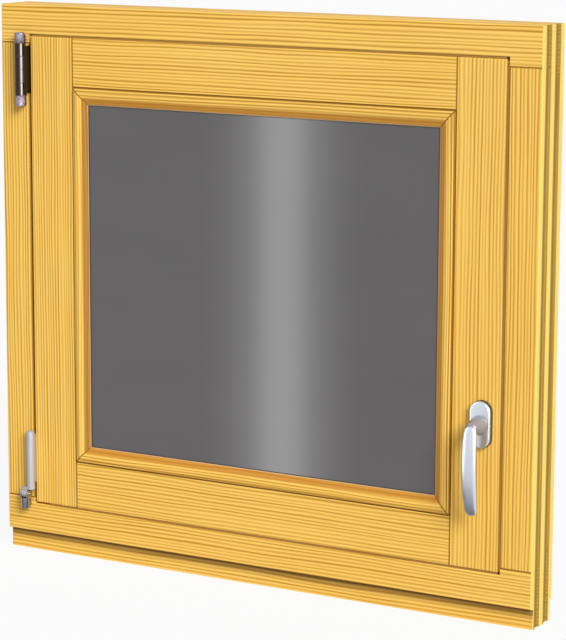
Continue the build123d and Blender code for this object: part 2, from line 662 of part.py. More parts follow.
# The sash's lower hinge: an eye on the cross pin, a foot over to the sleeve and a leaf on the stile
SLEEVE_X = -SASH_HALF_WIDTH - SLEEVE_OFFSET
SLEEVE_Y = FRONT - SLEEVE_PROUD
FOOT_BOTTOM = TILT_Z + SLEEVE_FOOT_RISE
SLEEVE_BOTTOM = FOOT_BOTTOM + SLEEVE_FOOT
SLEEVE_TOP = SLEEVE_BOTTOM + SLEEVE_LENGTH
with BuildPart() as corner_hinge_sleeve:
    with BuildSketch(Plane.XY.offset(FOOT_BOTTOM)):
        with Locations((SLEEVE_X, SLEEVE_Y)):
            Circle(SLEEVE_RADIUS)
    extrude(amount=SLEEVE_TOP - FOOT_BOTTOM)
    chamfer(corner_hinge_sleeve.faces().sort_by(Axis.Z)[-1].edges(), SLEEVE_BEVEL)
    eye_left = HINGE_X - EYE_WIDTH / 2
    eye_right = HINGE_X + EYE_WIDTH / 2
    eye_span = (HINGE_Y - EYE_WIDTH / 2, HINGE_Y + EYE_WIDTH / 2)
    block((eye_left, SLEEVE_X), eye_span, (FOOT_BOTTOM, SLEEVE_BOTTOM))
    block((eye_left, eye_right), eye_span, (TILT_Z, FOOT_BOTTOM))
    cross_disc(eye_left, eye_right, EYE_RADIUS)
    cross_disc(eye_left, eye_right, CROSS_PIN_RADIUS + RUNNING_FIT, mode=Mode.SUBTRACT)
    block(
        (-SASH_HALF_WIDTH - SLEEVE_LEAF, -SASH_HALF_WIDTH),
        (SLEEVE_Y, LIP_BACK),
        (SLEEVE_BOTTOM + SLEEVE_LEAF_MARGIN, SLEEVE_TOP - SLEEVE_LEAF_MARGIN),
    )
keep(corner_hinge_sleeve, "corner_hinge_sleeve")

# Handle: a rosette on the stile, and a bowed lever turning in it
ROSETTE_FRONT = FRONT - ROSETTE_THICKNESS
with BuildPart() as handle_rosette:
    with BuildSketch(Plane.XZ.offset(-FRONT)):
        with Locations((HANDLE_X, HANDLE_Z)):
            SlotOverall(ROSETTE_LENGTH, ROSETTE_WIDTH, rotation=90)
    extrude(amount=ROSETTE_THICKNESS)
    chamfer(handle_rosette.faces().sort_by(Axis.Y)[0].edges(), ROSETTE_BEVEL)
    with BuildSketch(Plane.XZ.offset(-ROSETTE_FRONT)):
        with Locations((HANDLE_X, HANDLE_Z)):
            Circle(COLLAR_RADIUS + RUNNING_FIT)
    extrude(amount=-COLLAR_DEPTH - NECK_LIFT, mode=Mode.SUBTRACT)
keep(handle_rosette, "handle_rosette")

LEVER_TOP = HANDLE_Z + LEVER_HEAD
LEVER_LENGTH = LEVER_HEAD + LEVER_REACH
LEVER_PEAK = FRONT - LEVER_PROUD - LEVER_THICKNESS / 2


def lever_line(drop):
    """Y of the lever's centre line at a drop below its top: a parabola about its proudest point."""
    share = (drop - LEVER_PEAK_DROP) / (LEVER_LENGTH - LEVER_PEAK_DROP)
    return LEVER_PEAK + LEVER_FALL * share**2


with BuildPart() as handle_lever:
    with BuildLine(Plane.YZ.offset(HANDLE_X)) as bow:
        bow_drops = (0, LEVER_PEAK_DROP, LEVER_LENGTH)
        ThreePointArc(*[(lever_line(drop), LEVER_TOP - drop) for drop in bow_drops])
    with BuildSketch(Plane(bow.line @ 0, x_dir=(1, 0, 0), z_dir=bow.line % 0)):
        RectangleRounded(LEVER_WIDTH, LEVER_THICKNESS, LEVER_ROUND)
    sweep(path=bow.line)
    lever_ends = handle_lever.faces().sort_by(Axis.Z)
    fillet(lever_ends[0].edges() + lever_ends[-1].edges(), LEVER_END_ROUND)
    with BuildSketch(Plane.XZ.offset(-ROSETTE_FRONT + NECK_LIFT)):
        with Locations((HANDLE_X, HANDLE_Z)):
            Circle(NECK_BASE_RADIUS)
    with BuildSketch(Plane.XZ.offset(-lever_line(LEVER_HEAD))):
        with Locations((HANDLE_X, HANDLE_Z)):
            Circle(NECK_TOP_RADIUS)
    loft()
    with BuildSketch(Plane.XZ.offset(-ROSETTE_FRONT + NECK_LIFT)):
        with Locations((HANDLE_X, HANDLE_Z)):
            Circle(COLLAR_RADIUS)
    extrude(amount=-COLLAR_DEPTH - NECK_LIFT / 2)
keep(handle_lever, "handle_lever")
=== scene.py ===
import math

import bpy
import numpy as np
from mathutils import Matrix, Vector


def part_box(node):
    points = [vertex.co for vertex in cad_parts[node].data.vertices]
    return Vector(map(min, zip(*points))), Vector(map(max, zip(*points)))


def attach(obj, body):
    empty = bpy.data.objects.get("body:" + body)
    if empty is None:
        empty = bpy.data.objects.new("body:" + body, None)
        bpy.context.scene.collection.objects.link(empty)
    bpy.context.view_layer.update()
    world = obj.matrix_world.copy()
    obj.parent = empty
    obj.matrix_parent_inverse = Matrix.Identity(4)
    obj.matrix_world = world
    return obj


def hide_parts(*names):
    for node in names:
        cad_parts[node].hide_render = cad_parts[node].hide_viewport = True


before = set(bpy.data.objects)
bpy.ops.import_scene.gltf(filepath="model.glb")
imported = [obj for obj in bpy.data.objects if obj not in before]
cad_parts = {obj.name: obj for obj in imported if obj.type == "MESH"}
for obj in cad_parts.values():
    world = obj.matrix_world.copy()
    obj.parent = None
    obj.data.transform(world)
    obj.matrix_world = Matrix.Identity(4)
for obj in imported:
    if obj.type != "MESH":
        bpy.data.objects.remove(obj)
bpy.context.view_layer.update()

# Looks of the tilt and turn window. Lengths are metres, in the frame of the solids:
# X to the right, Y into the wall, Z up, with the room on the side of negative Y.

MM = 0.001

# Places read from the solids
STILE_LOW, STILE_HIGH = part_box("sash_right_stile")
LEFT_STILE_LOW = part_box("sash_left_stile")[0]
RAIL_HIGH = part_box("sash_top_rail")[1]
HEAD_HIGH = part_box("frame_head")[1]
JAMB_LOW, JAMB_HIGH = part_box("frame_left_jamb")
PANE_LOW, PANE_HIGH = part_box("glass_inner_pane")
ROSETTE_LOW, ROSETTE_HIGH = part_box("handle_rosette")
LEVER_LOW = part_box("handle_lever")[0]
PIN_LOW, PIN_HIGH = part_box("top_hinge_pin")
STAY_LOW, STAY_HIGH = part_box("stay_hinge")
DRIP_LOW, DRIP_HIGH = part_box("drip_rail")
FACEPLATE_LOW, FACEPLATE_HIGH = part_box("lock_faceplate")
FACE = STILE_LOW.y
SIDE = HEAD_HIGH.x
SIGHT_X = RAIL_HIGH.x
SIGHT_Z = (PANE_HIGH.z - PANE_LOW.z) / 2 + (SIGHT_X - PANE_HIGH.x)
SASH_MIDDLE_Z = (STILE_LOW.z + STILE_HIGH.z) / 2
HINGE_X = (PIN_LOW.x + PIN_HIGH.x) / 2
HINGE_Y = (PIN_LOW.y + PIN_HIGH.y) / 2
HANDLE_X = (ROSETTE_LOW.x + ROSETTE_HIGH.x) / 2
HANDLE_Z = (ROSETTE_LOW.z + ROSETTE_HIGH.z) / 2


class Finish:
    """A procedural material under construction, with short ways to add and join its nodes."""

    def __init__(self, name):
        self.material = bpy.data.materials.new(name)
        self.material.use_nodes = True
        self.nodes = self.material.node_tree.nodes
        self.links = self.material.node_tree.links
        self.shader = self.nodes["Principled BSDF"]
        self.place = self.add("ShaderNodeTexCoord").outputs["Object"]

    def add(self, kind, inputs=None, **settings):
        """Add a node, set its properties, and join or set its inputs by name or number."""
        node = self.nodes.new(kind)
        for key, value in settings.items():
            setattr(node, key, value)
        for key, value in (inputs or {}).items():
            self.join(node.inputs[key], value)
        return node

    def join(self, socket, value):
        """Link a socket to another, or set its own value."""
        if isinstance(value, bpy.types.NodeSocket):
            self.links.new(value, socket)
        else:
            socket.default_value = value

    def calc(self, operation, *values, clamp=False):
        """The result of a Math node."""
        inputs = dict(enumerate(values))
        return self.add("ShaderNodeMath", inputs, operation=operation, use_clamp=clamp).outputs[0]

    def axes(self):
        """The place on the object as its three distances, by axis."""
        split = self.add("ShaderNodeSeparateXYZ", {0: self.place})
        return {axis: split.outputs[axis] for axis in "XYZ"}

    def scaled(self, scale, move=(0, 0, 0)):
        """The place on the object, moved and then stretched along its axes."""
        moved = self.add("ShaderNodeVectorMath", {0: self.place, 1: move}, operation="ADD").outputs[0]
        return self.add("ShaderNodeVectorMath", {0: moved, 1: scale}, operation="MULTIPLY").outputs[0]

    def noise(self, vector, scale=1.0, detail=2.0):
        """A smooth noise from 0 to 1 on the given vector."""
        inputs = {"Vector": vector, "Scale": scale, "Detail": detail, "Roughness": 0.5}
        return self.add("ShaderNodeTexNoise", inputs).outputs[0]

    def ramp(self, factor, stops):
        """A curve through (position, grey level) stops."""
        node = self.add("ShaderNodeValToRGB", {"Fac": factor})
        elements = node.color_ramp.elements
        while len(elements) < len(stops):
            elements.new(1.0)
        for element, (position, level) in zip(elements, stops):
            element.position = position
            element.color = (level, level, level, 1)
        return node.outputs["Color"]

    def blend(self, factor, first, second):
        """Two colours mixed by a factor."""
        node = self.add("ShaderNodeMix", data_type="RGBA")
        self.join(node.inputs["Factor"], factor)
        self.join(node.inputs["A"], first)
        self.join(node.inputs["B"], second)
        return node.outputs["Result"]

    def bump(self, height, distance, strength=1.0):
        """Small relief from a height, in metres at full height."""
        inputs = {"Height": height, "Distance": distance, "Strength": strength}
        self.join(self.shader.inputs["Normal"], self.add("ShaderNodeBump", inputs).outputs[0])

    def set(self, **sockets):
        """Set or link sockets of the surface shader, with _ for a space in their names."""
        for name, value in sockets.items():
            self.join(self.shader.inputs[name.replace("_", " ")], value)
        return self.material

    def layer(self, factor, under, over):
        """Take the surface shader out, and show one shader over another by a factor."""
        self.nodes.remove(self.shader)
        mixed = self.add("ShaderNodeMixShader", {0: factor, 1: under.outputs[0], 2: over.outputs[0]})
        self.links.new(mixed.outputs[0], self.nodes["Material Output"].inputs["Surface"])
        return self.material


def linear(red, green, blue):
    """A colour given as 0 to 255 picture values, in linear light."""
    levels = np.array([red, green, blue]) / 255
    light = np.where(levels <= 0.04045, levels / 12.92, ((levels + 0.055) / 1.055) ** 2.4)
    return (*light.tolist(), 1.0)


def wear(node, material):
    """Give a solid its finish."""
    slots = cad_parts[node].data.materials
    slots.clear()
    slots.append(material)


# Pine: colours
PINE_LIGHT = linear(254, 213, 112)
PINE_DARK = linear(192, 138, 42)
# Pale colour of the outer sides and edges of frame and base: a painted sheen
PINE_WARM = linear(243, 189, 80)
PINE_PAINTED_SHEEN = linear(232, 203, 104)
SEAM_AND_SHADE_BROWN = linear(142, 94, 18)
# Dark colour on the floors of the side grooves: painted shade
GROOVE_PAINTED_SHADE = linear(132, 108, 44)
# Darker colours on the beads' slopes beside the glass, darkest on the left bead: painted shade
BEAD_SLOPE_PAINTED_SHADE = linear(186, 118, 30)
LEFT_BEAD_PAINTED_SHADE = linear(140, 84, 18)
# Dark colour at the top of the base strip's front: a painted shadow under the sill rail
BASE_PAINTED_SHADOW = linear(92, 66, 30)

# Pine: grain. Stretches are along, into and across a member that lies along X, and each sway of
# the rings is a noise's scale, its detail and how far it moves them.
GRAIN_STRETCH = (1.1, 9.0, 9.0)
FIBRE_STRETCH = (6.0, 500.0, 700.0)
FIBRE_WEIGHT = 0.45
BOARD_STEPS = (3.17, 1.71, 2.39)
RING_SWAYS = ((2.2, 2.0, 9.0 * MM), (4.5, 1.0, 4.5 * MM), (10.0, 1.0, 1.1 * MM))
RING_UNEVEN = 1.2
RING_DRAW_STEP = 7.3
YEAR_SCALE = 45.0
LATE_WOOD = ((0.0, 0.5), (0.2, 0.0), (0.45, 0.12), (0.72, 0.85), (0.86, 1.0), (1.0, 0.5))
LATE_WOOD_LEAST = 0.5
LATE_WOOD_SPREAD = 0.55
FADE_SCALE = 6.0
FADE_LEAST = 0.7
FADE_SPREAD = 0.7
PATCH_SCALE = 1.3
PATCH_WEIGHT = 0.8
GRAIN_RELIEF = 0.15 * MM
GRAIN_RELIEF_STRENGTH = 0.3
PINE_ROUGHNESS = 0.58
PINE_LINE_GLOSS = 0.08
PINE_SPECULAR = 0.15

# Pine: seams, painted sheen and painted shade. Values that end in SEAM are weights of brown lines;
# the lip and bead step lines among them are painted shade.
SEAM_HALF_WIDTH = 2.0 * MM
SEAM_DARKNESS = 1.5
SEAM_PROFILE = ((0.0, 1.0), (0.4, 0.9), (0.7, 0.0))
JOINT_SEAM = 1.0
# Weight of the painted shade beside the gap round the sash
LIP_SHADE_SEAM = 0.6
MITRE_SEAM = 0.8
MITRE_NARROWING = 1.4
BEAD_JOINT_SEAM = 1.4
# Weight of the line of painted shade at the bead's step
BEAD_STEP_SHADE_SEAM = 0.4
# Band and weight of the painted sheen along the outer sides
SHEEN_BAND = 1.4 * MM
SHEEN_WEIGHT = 0.85
# How deep the painted shade reaches into the side grooves
GROOVE_SHADE_REACH = 3.4 * MM
GROOVE_WIDTH = 14.0 * MM
GROOVE_SPILL = 3.5 * MM
GROOVE_SETBACKS = (12.5 * MM, 42.5 * MM)
GROOVE_HALF_SHARE = 0.505
GROOVE_FADE = ((0.0, 0.6), (0.2, 1.0), (0.75, 0.95), (1.0, 0.6))
LIP_GAP = 3.0 * MM
BEAD_STEP = 5.8 * MM
BEAD_BROW = 15.5 * MM
BEAD_BROW_WIDTH = 2.0 * MM
# Weight of the painted shade on the bead slopes
BEAD_PAINTED_SHADE_WEIGHT = 0.75
BASE_HEIGHT = 30.0 * MM
BASE_FRONT = FACE + 8.5 * MM
BASE_SHADE = ((0.0, 0.0), (0.45, 0.0), (0.68, 0.5), (0.86, 0.8), (1.0, 0.75))


def growth_rings(wood, places, along, heart, ring_width, seed):
    """How dark the grain is, and how warm the wood between its lines, both from 0 to 1.

    The ring number is the distance from the heart line, swayed by noises of three lengths, over the
    ring width, plus a noise of that distance alone, so that some years are wider than others. Within a
    ring the wood darkens slowly and ends in a late-wood line of a strength drawn per ring and patch.
    Fibres are a fine noise drawn out along the member.
    """
    order = 1 if along == "X" else -1
    shift = tuple(seed * step for step in BOARD_STEPS)
    long_grain = wood.scaled(GRAIN_STRETCH[::order], shift)
    fibre = wood.noise(wood.scaled(FIBRE_STRETCH[::order], shift), 1.0, 3.0)
    across = wood.calc("SUBTRACT", places["Z"] if along == "X" else places["X"], heart[0])
    depth = wood.calc("SUBTRACT", places["Y"], heart[1])
    squares = wood.calc("MULTIPLY_ADD", depth, depth, wood.calc("MULTIPLY", across, across))
    radius = wood.calc("SQRT", squares)
    for scale, detail, reach in RING_SWAYS:
        radius = wood.calc("MULTIPLY_ADD", wood.noise(long_grain, scale, detail), reach, radius)
    yearly = {"W": radius, "Scale": YEAR_SCALE, "Detail": 1.0}
    years = wood.add("ShaderNodeTexNoise", yearly, noise_dimensions="1D").outputs[0]
    turns = wood.calc("MULTIPLY_ADD", years, RING_UNEVEN, wood.calc("DIVIDE", radius, ring_width))
    number = wood.calc("ADD", wood.calc("FLOOR", turns), seed * RING_DRAW_STEP)
    draw = wood.add("ShaderNodeTexWhiteNoise", {"W": number}, noise_dimensions="1D").outputs["Value"]
    fading = wood.noise(long_grain, FADE_SCALE, 1.0)
    faded = wood.calc("MULTIPLY_ADD", fading, FADE_SPREAD, FADE_LEAST)
    drawn = wood.calc("MULTIPLY_ADD", draw, LATE_WOOD_SPREAD, LATE_WOOD_LEAST)
    strength = wood.calc("MULTIPLY", drawn, faded)
    late = wood.calc("MULTIPLY", wood.ramp(wood.calc("FRACT", turns), LATE_WOOD), strength)
    fibre_tone = wood.calc("SUBTRACT", fibre, 0.5)
    grain = wood.calc("MULTIPLY_ADD", fibre_tone, FIBRE_WEIGHT, late, clamp=True)
    patch = wood.noise(long_grain, PATCH_SCALE, 1.0)
    return grain, wood.calc("MULTIPLY", patch, PATCH_WEIGHT, clamp=True)


def pine(name, along, heart, ring_width, seed, seams, kind):
    """Lacquered pine: growth rings about a distant heart, brown seams, and painted sheen and shade by kind.

    A seam is a dark line at a plane given as (axis, place, weight), where a member meets another;
    beside the gap round the sash it is painted shade. The kind is sash, frame, base, bead or left bead;
    the left bead has the darkest painted shade on its slope.
    """
    wood = Finish(name)
    places = wood.axes()
    grain, warmth = growth_rings(wood, places, along, heart, ring_width, seed)
    colour = wood.blend(grain, wood.blend(warmth, PINE_LIGHT, PINE_WARM), PINE_DARK)
    gaps = []
    for axis, place, weight in seams:
        gaps.append((wood.calc("ABSOLUTE", wood.calc("SUBTRACT", places[axis], place)), weight))
    if "bead" in kind:
        # The slope's darker colour is painted shade, darkest on the left bead
        slope_shade = LEFT_BEAD_PAINTED_SHADE if kind == "left bead" else BEAD_SLOPE_PAINTED_SHADE
        colour, edges = bead_with_painted_shade(wood, colour, places, slope_shade)
        gaps += edges
    for gap, weight in gaps:
        colour = seam_and_shade_line(wood, colour, gap, weight)
    # Frame and base: a painted sheen on the outer sides and painted shade in the side grooves
    if kind in ("frame", "base"):
        colour = sides_with_painted_sheen_and_shade(wood, colour, places)
    if kind == "base":
        colour = painted_base_shadow(wood, colour, places)
    wood.bump(grain, -GRAIN_RELIEF, GRAIN_RELIEF_STRENGTH)
    roughness = wood.calc("MULTIPLY_ADD", grain, -PINE_LINE_GLOSS, PINE_ROUGHNESS)
    return wood.set(Base_Color=colour, Roughness=roughness, Specular_IOR_Level=PINE_SPECULAR)


def seam_and_shade_line(wood, colour, gap, weight):
    """A brown line where the gap is zero, wider and darker with its weight, for seams and painted shade."""
    share = wood.calc("DIVIDE", gap, 2 * SEAM_HALF_WIDTH * weight)
    darkest = min(1.0, SEAM_DARKNESS * weight)
    line = wood.ramp(share, [(place, level * darkest) for place, level in SEAM_PROFILE])
    return wood.blend(line, colour, SEAM_AND_SHADE_BROWN)


def sides_with_painted_sheen_and_shade(wood, colour, places):
    """Pale outer sides and edges as a painted sheen, and painted shade on the floors of two grooves."""
    inwards = wood.calc("SUBTRACT", SIDE, wood.calc("ABSOLUTE", places["X"]))
    sheen = wood.calc("LESS_THAN", inwards, SHEEN_BAND)
    shallow = wood.calc("LESS_THAN", inwards, GROOVE_SHADE_REACH)
    # Painted sheen on the outer sides and their edges
    colour = wood.blend(wood.calc("MULTIPLY", sheen, SHEEN_WEIGHT), colour, PINE_PAINTED_SHEEN)
    for setback in GROOVE_SETBACKS:
        start = FACE + setback - GROOVE_SPILL
        share = wood.calc("DIVIDE", wood.calc("SUBTRACT", places["Y"], start), GROOVE_WIDTH + GROOVE_SPILL)
        inside = wood.calc("MULTIPLY", wood.calc("COMPARE", share, 0.5, GROOVE_HALF_SHARE), shallow)
        # Painted shade on the groove's floor, weaker at its front and back
        fade = wood.ramp(share, GROOVE_FADE)
        colour = wood.blend(wood.calc("MULTIPLY", inside, fade), colour, GROOVE_PAINTED_SHADE)
    return colour


def painted_base_shadow(wood, colour, places):
    """A painted shadow: a dark band along the upper half of the base strip's front, under the sill rail."""
    front = wood.calc("LESS_THAN", places["Y"], BASE_FRONT)
    shade = wood.ramp(wood.calc("DIVIDE", places["Z"], BASE_HEIGHT), BASE_SHADE)
    return wood.blend(wood.calc("MULTIPLY", shade, front), colour, BASE_PAINTED_SHADOW)


def bead_with_painted_shade(wood, colour, places, slope_shade):
    """Painted shade on the slope beside the glass and at the step, with the mitres and joint as seams."""
    from_side, from_end = inside_sight(wood, places)
    inwards = wood.calc("MINIMUM", from_side, from_end)
    apart = wood.calc("ABSOLUTE", wood.calc("SUBTRACT", from_side, from_end))
    mitre = wood.calc("MULTIPLY", apart, MITRE_NARROWING)
    step = wood.calc("ABSOLUTE", wood.calc("SUBTRACT", inwards, BEAD_STEP))
    # Painted shade on the slope, from the brow inwards
    slope = wood.calc("DIVIDE", wood.calc("SUBTRACT", inwards, BEAD_BROW), BEAD_BROW_WIDTH, clamp=True)
    shaded = wood.blend(wood.calc("MULTIPLY", slope, BEAD_PAINTED_SHADE_WEIGHT), colour, slope_shade)
    # The mitres and joint are seams; the line at the step is painted shade
    return shaded, [(mitre, MITRE_SEAM), (inwards, BEAD_JOINT_SEAM), (step, BEAD_STEP_SHADE_SEAM)]


def inside_sight(finish, places):
    """How far a place lies inside the sight line, from the nearer side and from the nearer end."""
    from_side = finish.calc("SUBTRACT", SIGHT_X, finish.calc("ABSOLUTE", places["X"]))
    height = finish.calc("ABSOLUTE", finish.calc("SUBTRACT", places["Z"], SASH_MIDDLE_Z))
    return from_side, finish.calc("SUBTRACT", SIGHT_Z, height)


def dress_pine():
    """Give each wooden member its own board: grain along its length, with its own heart and draw."""
    jamb_ends = (("Z", JAMB_LOW.z, JOINT_SEAM), ("Z", JAMB_HIGH.z, JOINT_SEAM))
    rail_ends = (("X", -SIGHT_X, JOINT_SEAM), ("X", SIGHT_X, JOINT_SEAM))
    # Brown lines of painted shade beside the gap round the sash, on the jamb and on the lock stile
    hinge_gap_shade = ("X", LEFT_STILE_LOW.x - LIP_GAP, LIP_SHADE_SEAM)
    lock_gap_shade = ("X", STILE_HIGH.x, LIP_SHADE_SEAM)
    # Solid, way of the grain, heart's place across and into the wall, ring width in mm, seams, kind
    boards = (
        ("frame_head", "X", (1.02, 0.02), 5.3, (), "frame"),
        ("frame_sill_rail", "X", (-0.16, -0.05), 5.3, (), "frame"),
        ("sill_base", "X", (-0.21, 0.03), 5.4, (), "base"),
        ("frame_left_jamb", "Z", (-0.62, 0.02), 4.8, (*jamb_ends, hinge_gap_shade), "frame"),
        ("frame_right_jamb", "Z", (0.66, 0.03), 5.0, jamb_ends, "frame"),
        ("sash_left_stile", "Z", (-0.60, -0.02), 4.7, (), "sash"),
        ("sash_right_stile", "Z", (0.16, 0.03), 5.0, (lock_gap_shade,), "sash"),
        ("sash_top_rail", "X", (0.96, -0.03), 5.0, rail_ends, "sash"),
        ("sash_bottom_rail", "X", (-0.09, 0.02), 5.1, rail_ends, "sash"),
        ("bead_top", "X", (0.87, -0.01), 4.2, (), "bead"),
        ("bead_bottom", "X", (-0.04, 0.01), 4.2, (), "bead"),
        ("bead_left", "Z", (-0.48, 0.02), 4.2, (), "left bead"),
        ("bead_right", "Z", (0.49, 0.01), 4.2, (), "bead"),
    )
    for seed, (node, along, heart, ring_width, seams, kind) in enumerate(boards, 1):
        wear(node, pine("pine_" + node, along, heart, ring_width * MM, seed, seams, kind))


# Glass and seals
GLASS_TONES = (linear(83, 81, 82), linear(89, 87, 88))
GLASS_WIPING = (3.0, 1.0, 14.0)
GLASS_ROUGHNESS = 0.05
GLASS_ROUGHNESS_SPREAD = 0.05
GLASS_IOR = 1.5
RUBBER_SKIN = (300.0, 300.0, 300.0)
RUBBER_LIGHTER = 1.25
RUBBER_RELIEF = 0.05 * MM
RUBBER_RELIEF_STRENGTH = 0.4
RUBBER_ROUGHNESS = 0.6
RUBBER_ROUGHNESS_SPREAD = 0.1
DARK_SEAL = linear(38, 36, 35)
BROWN_SEAL = linear(150, 106, 26)
PALE_SEAL_TONES = (linear(206, 176, 122), linear(226, 198, 150))
SEAL_DARK_EDGE = linear(70, 50, 34)
SEAL_DARK_EDGE_START = 26.1 * MM

# Metals: colour, roughness, share of the colour in the darkest places, spread of the roughness,
# stretch of the unevenness, relief, and how metallic
METALS = {
    "satin_aluminium": (linear(212, 218, 228), 0.30, 0.93, 0.08, (500.0, 500.0, 30.0), 0.02 * MM, 1.0),
    "neck_satin": (linear(146, 144, 148), 0.36, 0.93, 0.08, (500.0, 30.0, 500.0), 0.02 * MM, 0.2),
    "dark_chrome": (linear(62, 56, 54), 0.10, 0.8, 0.04, (80.0, 80.0, 40.0), 0.0, 1.0),
    "bright_steel": (linear(176, 176, 180), 0.16, 0.85, 0.1, (120.0, 120.0, 60.0), 0.01 * MM, 1.0),
    "light_grey_metal": (linear(178, 176, 181), 0.38, 0.95, 0.05, (90.0, 90.0, 40.0), 0.01 * MM, 0.35),
    "mill_aluminium": (linear(190, 192, 194), 0.38, 0.9, 0.1, (8.0, 300.0, 300.0), 0.02 * MM, 1.0),
}
ZINC_TONES = (linear(78, 70, 78), linear(172, 162, 180))
ZINC_CRYSTALS = (620.0, 620.0, 620.0)
ZINC_ROUGHNESS = 0.45
ZINC_ROUGHNESS_SPREAD = 0.2
ZINC_RELIEF = 0.1 * MM
ZINC_RELIEF_STRENGTH = 0.5
ZINC_METALLIC = 0.4

# The finish of each fitting
FITTINGS = {
    "glass_inner_pane": "tinted_glass",
    "glass_outer_pane": "tinted_glass",
    "glass_spacer": "mill_aluminium",
    "glazing_seals": "light_seal",
    "frame_gasket": "dark_seal",
    "drip_rail": "mill_aluminium",
    "lock_faceplate": "galvanised_steel",
    "lock_keeps": "galvanised_steel",
    "top_hinge_bearing": "dark_chrome",
    "top_hinge_pin": "galvanised_steel",
    "stay_hinge": "dark_chrome",
    "stay_arm": "galvanised_steel",
    "corner_bearing": "bright_steel",
    "corner_swivel": "bright_steel",
    "corner_hinge_sleeve": "light_grey_metal",
    "handle_rosette": "satin_aluminium",
    "handle_lever": "satin_aluminium",
}


def tinted_glass():
    """Grey tinted glass, with faint wiping marks in its gloss."""
    glass = Finish("tinted_glass")
    smear = glass.noise(glass.scaled(GLASS_WIPING), 1.0, 3.0)
    gloss = glass.calc("MULTIPLY_ADD", smear, GLASS_ROUGHNESS_SPREAD, GLASS_ROUGHNESS)
    return glass.set(Base_Color=glass.blend(smear, *GLASS_TONES), Roughness=gloss, IOR=GLASS_IOR)


def metal(name, colour, roughness, shade, spread, stretch, relief, metallic):
    """A metal with a slight unevenness of tone, gloss and relief, stretched along its brushing."""
    finish = Finish(name)
    uneven = finish.noise(finish.scaled(stretch), 1.0, 3.0)
    darker = tuple(level * shade for level in colour[:3]) + (1.0,)
    tone = finish.blend(uneven, darker, colour)
    gloss = finish.calc("MULTIPLY_ADD", uneven, spread, roughness - spread / 2)
    if relief:
        finish.bump(uneven, relief)
    return finish.set(Base_Color=tone, Roughness=gloss, Metallic=metallic)


def galvanised():
    """Zinc plating: small crystals of differing grey, each with its own gloss."""
    zinc = Finish("galvanised_steel")
    cells = zinc.add("ShaderNodeTexVoronoi", {"Vector": zinc.scaled(ZINC_CRYSTALS), "Scale": 1.0})
    tone = zinc.blend(cells.outputs["Color"], *ZINC_TONES)
    from_middle = cells.outputs["Distance"]
    gloss = zinc.calc("MULTIPLY_ADD", from_middle, ZINC_ROUGHNESS_SPREAD, ZINC_ROUGHNESS)
    zinc.bump(from_middle, ZINC_RELIEF, ZINC_RELIEF_STRENGTH)
    return zinc.set(Base_Color=tone, Roughness=gloss, Metallic=ZINC_METALLIC)


def rubber(name, colour):
    """Matt seal rubber with a fine skin."""
    seal = Finish(name)
    skin = seal.noise(seal.scaled(RUBBER_SKIN))
    lighter = tuple(min(1.0, level * RUBBER_LIGHTER) for level in colour[:3]) + (1.0,)
    seal.bump(skin, RUBBER_RELIEF, RUBBER_RELIEF_STRENGTH)
    gloss = seal.calc("MULTIPLY_ADD", skin, RUBBER_ROUGHNESS_SPREAD, RUBBER_ROUGHNESS)
    return seal.set(Base_Color=seal.blend(skin, colour, lighter), Roughness=gloss)


def glazing_seal():
    """The seal between bead and glass: a pale skin, dark along the glass."""
    seal = Finish("light_seal")
    from_side, from_end = inside_sight(seal, seal.axes())
    dark_edge = seal.calc("GREATER_THAN", seal.calc("MINIMUM", from_side, from_end), SEAL_DARK_EDGE_START)
    pale = seal.blend(seal.noise(seal.scaled(RUBBER_SKIN)), *PALE_SEAL_TONES)
    return seal.set(Base_Color=seal.blend(dark_edge, pale, SEAL_DARK_EDGE), Roughness=RUBBER_ROUGHNESS)


def fitting_finishes():
    """Every finish of the fittings, by name."""
    finishes = {name: metal(name, *values) for name, values in METALS.items()}
    finishes["tinted_glass"] = tinted_glass()
    finishes["galvanised_steel"] = galvanised()
    finishes["light_seal"] = glazing_seal()
    finishes["dark_seal"] = rubber("dark_seal", DARK_SEAL)
    finishes["brown_seal"] = rubber("brown_seal", BROWN_SEAL)
    return finishes


def placed(name, data):
    """A new object in the scene, holding a mesh, a lamp or a lens."""
    made = bpy.data.objects.new(name, data)
    bpy.context.scene.collection.objects.link(made)
    return made


def piece(name, rings, material, body, replaced=(), closed=False, smooth=True):
    """Skin rings of points into a closed piece that rides on a body.

    The rings form a grid of shape (rows, columns, 3), wrapped round its columns. Open rows end in a fan
    to the middle of the first and last ring; closed rows meet again, as on a hoop. Faces are turned so
    that the enclosed volume, the sum of the origin tetrahedra, is positive.
    """
    rows, columns = rings.shape[:2]
    points = rings.reshape(-1, 3)
    index = np.arange(rows * columns).reshape(rows, columns)
    if closed:
        index = np.vstack([index, index[:1]])
    beside = np.roll(index, -1, axis=1)
    quads = np.stack([index[:-1], beside[:-1], beside[1:], index[1:]], axis=-1).reshape(-1, 4)
    triangles = np.vstack([quads[:, [0, 1, 2]], quads[:, [0, 2, 3]]])
    fans = np.zeros((0, 3), int)
    if not closed:
        middles = rings[[0, -1]].mean(axis=1)
        first, last = len(points), len(points) + 1
        points = np.vstack([points, middles])
        start = np.stack([np.full(columns, first), beside[0], index[0]], axis=-1)
        end = np.stack([np.full(columns, last), index[-1], beside[-1]], axis=-1)
        fans = np.vstack([start, end])
        triangles = np.vstack([triangles, fans])
    corners = points[triangles]
    volume = np.einsum("ij,ij->", corners[:, 0], np.cross(corners[:, 1], corners[:, 2]))
    if volume < 0:
        quads = quads[:, ::-1]
        fans = fans[:, ::-1]
    mesh = bpy.data.meshes.new(name)
    mesh.from_pydata(points.tolist(), [], quads.tolist() + fans.tolist())
    mesh.polygons.foreach_set("use_smooth", np.full(len(mesh.polygons), smooth))
    mesh.materials.append(material)
    made = placed(name, mesh)
    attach(made, body)
    if replaced:
        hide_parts(*replaced)


